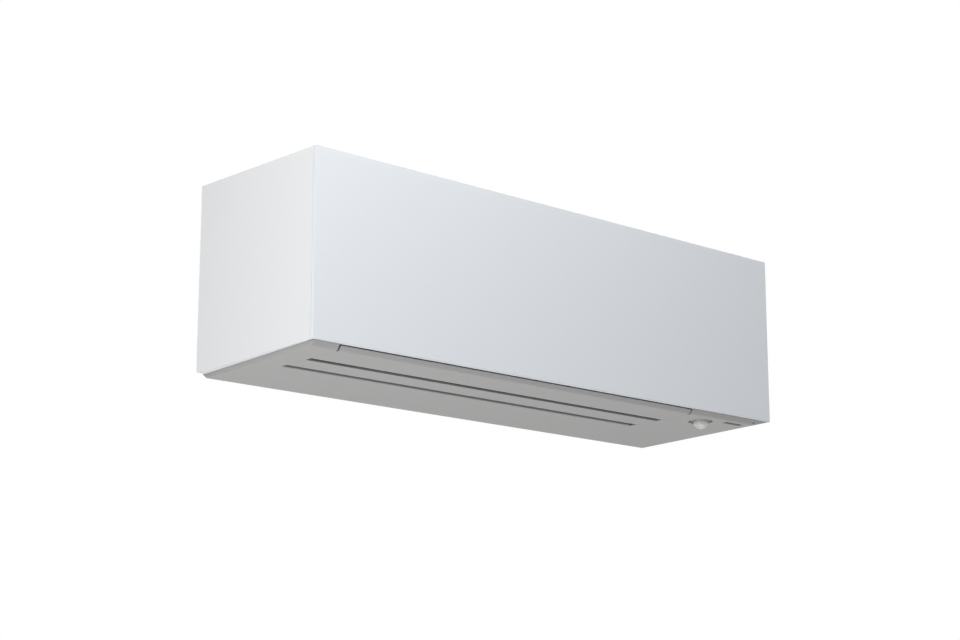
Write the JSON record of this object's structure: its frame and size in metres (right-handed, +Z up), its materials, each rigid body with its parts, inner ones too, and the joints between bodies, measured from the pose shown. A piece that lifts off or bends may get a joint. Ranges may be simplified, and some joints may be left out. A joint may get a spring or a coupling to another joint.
{
  "type": "mini split indoor unit",
  "caption": "Wall-hung mini split indoor unit: boxy white body, flat hinged front panel, grey underside with two outlet flaps, steerable vanes and a cross-flow fan.",
  "frame": {"origin": "middle of the wall face, in the plane of the wall", "axes": "+X to the right seen from the front, +Y out of the back into the wall, +Z up"},
  "size_m": [1.04, 0.295, 0.3195],
  "materials": {
    "panel_white": "smooth satin white, very fine texture",
    "white_plastic": "fine moulded texture",
    "grey_plastic": "warm grey moulded texture",
    "black_plastic": "black moulded plastic",
    "dark_plastic": "dark grey moulded plastic",
    "rubber": "matt",
    "foam": "expanded foam",
    "zinc_steel": "zinc coated sheet",
    "steel": "turned steel",
    "fins": "close fins",
    "copper": "drawn copper tube",
    "brass": "turned brass",
    "motor_cream": "pale moulded resin and plated steel",
    "board_green": "circuit board",
    "dome_clear": "milky translucent dome",
    "window_smoke": "smoked window",
    "net": "fine woven net"
  },
  "bodies": {
    "unit": {"front_casing": "white_plastic", "top_grille": "white_plastic", "lower_casing": "grey_plastic", "rear_casing": "black_plastic", "air_guide": "black_plastic", "drain_pan": "black_plastic", "drain_cap": "rubber", "pan_insulation": "foam", "mounting_plate": "zinc_steel", "coil_front": "fins", "coil_rear": "fins", "tube_sheet_left": "zinc_steel", "tube_sheet_right": "zinc_steel", "hairpin_tubes": "copper", "return_bends": "copper", "gas_pipe": "copper", "liquid_pipe": "copper", "pipe_unions": "brass", "fan_bearing": "rubber", "bearing_holder": "dark_plastic", "fan_motor": "motor_cream", "motor_bracket": "dark_plastic", "control_box": "black_plastic", "control_cover": "zinc_steel", "circuit_board": "board_green", "terminal_block": "dark_plastic", "front_flap_motor": "motor_cream", "rear_flap_motor": "motor_cream", "vane_motor_left": "motor_cream", "vane_motor_right": "motor_cream", "sensor_bezel": "grey_plastic", "sensor_dome": "dome_clear", "display_board": "board_green", "display_window": "window_smoke", "indicator_lens": "dark_plastic", "casing_screws": "steel"},
    "front_panel": {"front_panel": "panel_white"},
    "front_flap": {"front_flap": "grey_plastic"},
    "rear_flap": {"rear_flap": "grey_plastic"},
    "fan": {"fan_rotor": "dark_plastic", "fan_shaft": "steel", "motor_shaft": "steel"},
    "filter_left": {"filter_frame_left": "dark_plastic", "filter_net_left": "net"},
    "filter_right": {"filter_frame_right": "dark_plastic", "filter_net_right": "net"},
    "emergency_button": {"emergency_button": "white_plastic"},
    "vane_link_left": {"vane_link_left": "dark_plastic"},
    "vane_link_right": {"vane_link_right": "dark_plastic"},
    "vane_left_1": {"vane_left_1": "dark_plastic"},
    "vane_left_2": {"vane_left_2": "dark_plastic"},
    "vane_left_3": {"vane_left_3": "dark_plastic"},
    "vane_left_4": {"vane_left_4": "dark_plastic"},
    "vane_left_5": {"vane_left_5": "dark_plastic"},
    "vane_right_1": {"vane_right_1": "dark_plastic"},
    "vane_right_2": {"vane_right_2": "dark_plastic"},
    "vane_right_3": {"vane_right_3": "dark_plastic"},
    "vane_right_4": {"vane_right_4": "dark_plastic"},
    "vane_right_5": {"vane_right_5": "dark_plastic"}
  },
  "joints": [
    {"name": "front_panel_hinge", "type": "hinge", "parent": "unit", "child": "front_panel", "pos_m": [0, -0.279, 0.1525], "axis": [-1, 0, 0], "range_deg": [0, 60]},
    {"name": "front_flap_hinge", "type": "hinge", "parent": "unit", "child": "front_flap", "pos_m": [0, -0.234, -0.13643], "axis": [1, 0, 0], "range_deg": [0, 75]},
    {"name": "rear_flap_hinge", "type": "hinge", "parent": "unit", "child": "rear_flap", "pos_m": [0, -0.172, -0.1373], "axis": [1, 0, 0], "range_deg": [0, 75]},
    {"name": "fan_spin", "type": "hinge", "parent": "unit", "child": "fan", "pos_m": [0, -0.148, -0.012], "axis": [1, 0, 0], "continuous": true},
    {"name": "filter_left_lift", "type": "slide", "parent": "unit", "child": "filter_left", "axis": [0, 0, 1], "range_m": [0, 0.035]},
    {"name": "filter_right_lift", "type": "slide", "parent": "unit", "child": "filter_right", "axis": [0, 0, 1], "range_m": [0, 0.035]},
    {"name": "emergency_button_press", "type": "slide", "parent": "unit", "child": "emergency_button", "axis": [0, 1, 0], "range_m": [0, 0.0015], "stiffness_N_per_m": 600, "springref_m": -0.001},
    {"name": "vane_left_1_turn", "type": "hinge", "parent": "unit", "child": "vane_left_1", "pos_m": [-0.40225, -0.13431, -0.11228], "axis": [0, -0.866, 0.5], "range_deg": [-35, 35]},
    {"name": "vane_left_2_turn", "type": "hinge", "parent": "unit", "child": "vane_left_2", "pos_m": [-0.33025, -0.13431, -0.11228], "axis": [0, -0.866, 0.5], "range_deg": [-35, 35]},
    {"name": "vane_left_3_turn", "type": "hinge", "parent": "unit", "child": "vane_left_3", "pos_m": [-0.25825, -0.13431, -0.11228], "axis": [0, -0.866, 0.5], "range_deg": [-35, 35]},
    {"name": "vane_left_4_turn", "type": "hinge", "parent": "unit", "child": "vane_left_4", "pos_m": [-0.18625, -0.13431, -0.11228], "axis": [0, -0.866, 0.5], "range_deg": [-35, 35]},
    {"name": "vane_left_5_turn", "type": "hinge", "parent": "unit", "child": "vane_left_5", "pos_m": [-0.11425, -0.13431, -0.11228], "axis": [0, -0.866, 0.5], "range_deg": [-35, 35]},
    {"name": "vane_link_left_turn", "type": "hinge", "parent": "vane_left_1", "child": "vane_link_left", "pos_m": [-0.40225, -0.21339, -0.10126], "axis": [0, -0.866, 0.5], "range_deg": [-35, 35]},
    {"name": "vane_right_1_turn", "type": "hinge", "parent": "unit", "child": "vane_right_1", "pos_m": [-0.03425, -0.13431, -0.11228], "axis": [0, -0.866, 0.5], "range_deg": [-35, 35]},
    {"name": "vane_right_2_turn", "type": "hinge", "parent": "unit", "child": "vane_right_2", "pos_m": [0.03775, -0.13431, -0.11228], "axis": [0, -0.866, 0.5], "range_deg": [-35, 35]},
    {"name": "vane_right_3_turn", "type": "hinge", "parent": "unit", "child": "vane_right_3", "pos_m": [0.10975, -0.13431, -0.11228], "axis": [0, -0.866, 0.5], "range_deg": [-35, 35]},
    {"name": "vane_right_4_turn", "type": "hinge", "parent": "unit", "child": "vane_right_4", "pos_m": [0.18175, -0.13431, -0.11228], "axis": [0, -0.866, 0.5], "range_deg": [-35, 35]},
    {"name": "vane_right_5_turn", "type": "hinge", "parent": "unit", "child": "vane_right_5", "pos_m": [0.25375, -0.13431, -0.11228], "axis": [0, -0.866, 0.5], "range_deg": [-35, 35]},
    {"name": "vane_link_right_turn", "type": "hinge", "parent": "vane_right_5", "child": "vane_link_right", "pos_m": [0.25375, -0.21339, -0.10126], "axis": [0, -0.866, 0.5], "range_deg": [-35, 35]}
  ],
  "couplings": [
    {"joint": "vane_left_2_turn", "follows": "vane_left_1_turn", "ratio": 1},
    {"joint": "vane_left_3_turn", "follows": "vane_left_1_turn", "ratio": 1},
    {"joint": "vane_left_4_turn", "follows": "vane_left_1_turn", "ratio": 1},
    {"joint": "vane_left_5_turn", "follows": "vane_left_1_turn", "ratio": 1},
    {"joint": "vane_link_left_turn", "follows": "vane_left_1_turn", "ratio": -1},
    {"joint": "vane_right_1_turn", "follows": "vane_right_5_turn", "ratio": 1},
    {"joint": "vane_right_2_turn", "follows": "vane_right_5_turn", "ratio": 1},
    {"joint": "vane_right_3_turn", "follows": "vane_right_5_turn", "ratio": 1},
    {"joint": "vane_right_4_turn", "follows": "vane_right_5_turn", "ratio": 1},
    {"joint": "vane_link_right_turn", "follows": "vane_right_5_turn", "ratio": -1}
  ]
}
